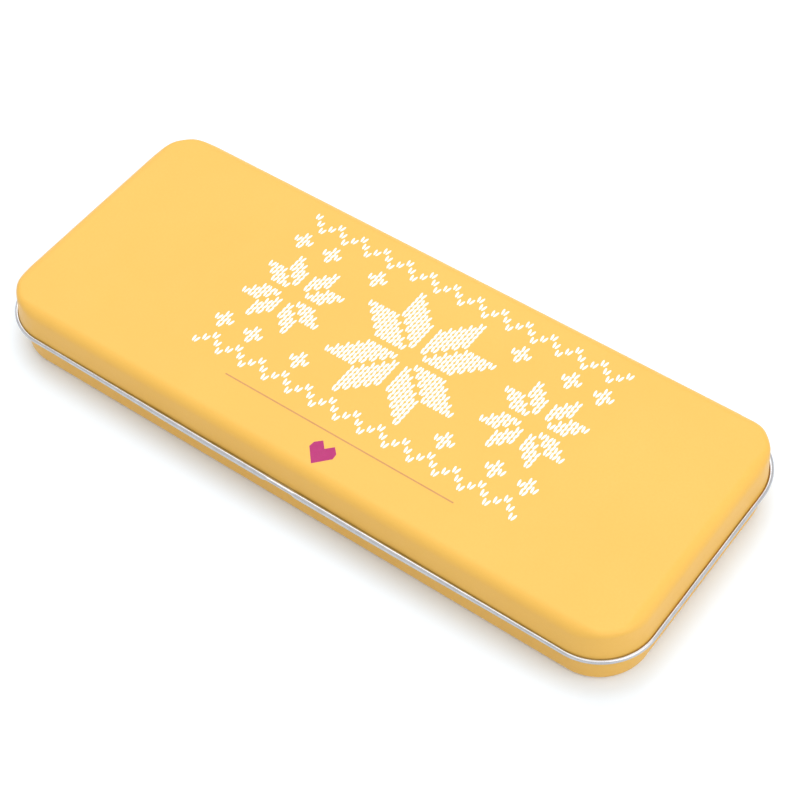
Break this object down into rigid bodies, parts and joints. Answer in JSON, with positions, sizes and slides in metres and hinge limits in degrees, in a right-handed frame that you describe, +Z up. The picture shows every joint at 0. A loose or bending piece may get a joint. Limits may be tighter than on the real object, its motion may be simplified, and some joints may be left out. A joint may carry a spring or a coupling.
{
  "type": "knitting needle case",
  "caption": "Slim rectangular hinged tinplate case with rounded corners, a rolled bead round the lid's edge and a thumb notch.",
  "frame": {"origin": "middle of the underside, on the surface that the case stands on", "axes": "+X along the case to its right, +Y to the back where the hinges are, +Z up through the lid"},
  "size_m": [0.2, 0.0817, 0.0202],
  "materials": {
    "printed_tin": "satin yellow lacquer outside, bare tinplate inside and on the rolled bead",
    "bare_steel": "bare drawn wire"
  },
  "bodies": {
    "base": {"base_tray": "printed_tin", "hinge_pin_left": "bare_steel", "hinge_pin_right": "bare_steel"},
    "lid": {"lid_shell": "printed_tin"}
  },
  "joints": [
    {"name": "lid_hinge", "type": "hinge", "parent": "base", "child": "lid", "pos_m": [0, 0.03995, 0.01105], "axis": [-1, 0, 0], "range_deg": [0, 180]}
  ]
}
